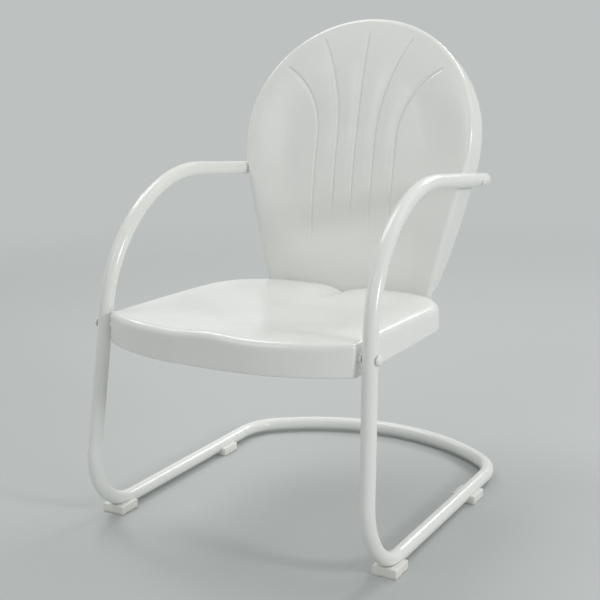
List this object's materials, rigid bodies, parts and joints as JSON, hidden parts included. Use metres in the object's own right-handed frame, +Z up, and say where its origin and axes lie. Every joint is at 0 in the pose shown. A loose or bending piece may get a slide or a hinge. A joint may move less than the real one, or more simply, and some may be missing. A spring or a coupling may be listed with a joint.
{
  "type": "metal lawn chair",
  "caption": "Garden armchair with a springy bent-tube frame, a pressed steel seat pan and a fluted shell back.",
  "frame": {"origin": "on the floor, at the middle of the chair's width and depth", "axes": "+Z is up, the sitter faces -Y, and +X is to the sitter's left"},
  "size_m": [0.589, 0.7097, 0.8739],
  "materials": {
    "frame_paint": "white gloss powder coat on steel tube",
    "seat_paint": "white gloss powder coat on pressed steel sheet",
    "back_paint": "white gloss powder coat on pressed steel sheet",
    "bolt_paint": "white painted steel bolt",
    "zinc_plate": "bright zinc plate on steel",
    "white_plastic": "white moulded plastic",
    "glide_plastic": "off-white moulded plastic with a worn sole"
  },
  "bodies": {
    "base": {"left_base_tube": "frame_paint", "left_base_screw": "zinc_plate", "left_front_glide": "glide_plastic", "left_rear_glide": "glide_plastic", "right_base_tube": "frame_paint", "right_base_screw": "zinc_plate", "right_front_glide": "glide_plastic", "right_rear_glide": "glide_plastic", "rear_cross_tube": "frame_paint"},
    "seat_and_arms": {"left_arm_tube": "frame_paint", "right_arm_tube": "frame_paint", "seat_pan": "seat_paint", "back_shell": "back_paint", "left_seat_bolt": "bolt_paint", "right_seat_bolt": "bolt_paint", "back_bolt_1": "bolt_paint", "back_bolt_2": "bolt_paint", "back_bolt_3": "bolt_paint", "back_bolt_4": "bolt_paint", "left_arm_bolt": "zinc_plate", "left_arm_washer": "zinc_plate", "left_arm_insert": "zinc_plate", "left_seat_washer": "zinc_plate", "left_seat_nut": "zinc_plate", "right_arm_bolt": "zinc_plate", "right_arm_washer": "zinc_plate", "right_arm_insert": "zinc_plate", "right_seat_washer": "zinc_plate", "right_seat_nut": "zinc_plate", "back_washer_1": "zinc_plate", "back_washer_2": "zinc_plate", "back_washer_3": "zinc_plate", "back_washer_4": "zinc_plate", "back_nut_1": "zinc_plate", "back_nut_2": "zinc_plate", "back_nut_3": "zinc_plate", "back_nut_4": "zinc_plate", "left_arm_plug": "white_plastic", "left_seat_spacer": "white_plastic", "right_arm_plug": "white_plastic", "right_seat_spacer": "white_plastic"}
  },
  "joints": [
    {"name": "frame_flex", "type": "hinge", "parent": "base", "child": "seat_and_arms", "pos_m": [0, -0.3123, 0.1673], "axis": [-1, 0, 0], "range_deg": [-1.5, 4], "stiffness_Nm_per_rad": 6000, "springref_deg": -0.2, "deforming": ["left_base_tube", "right_base_tube"]}
  ]
}
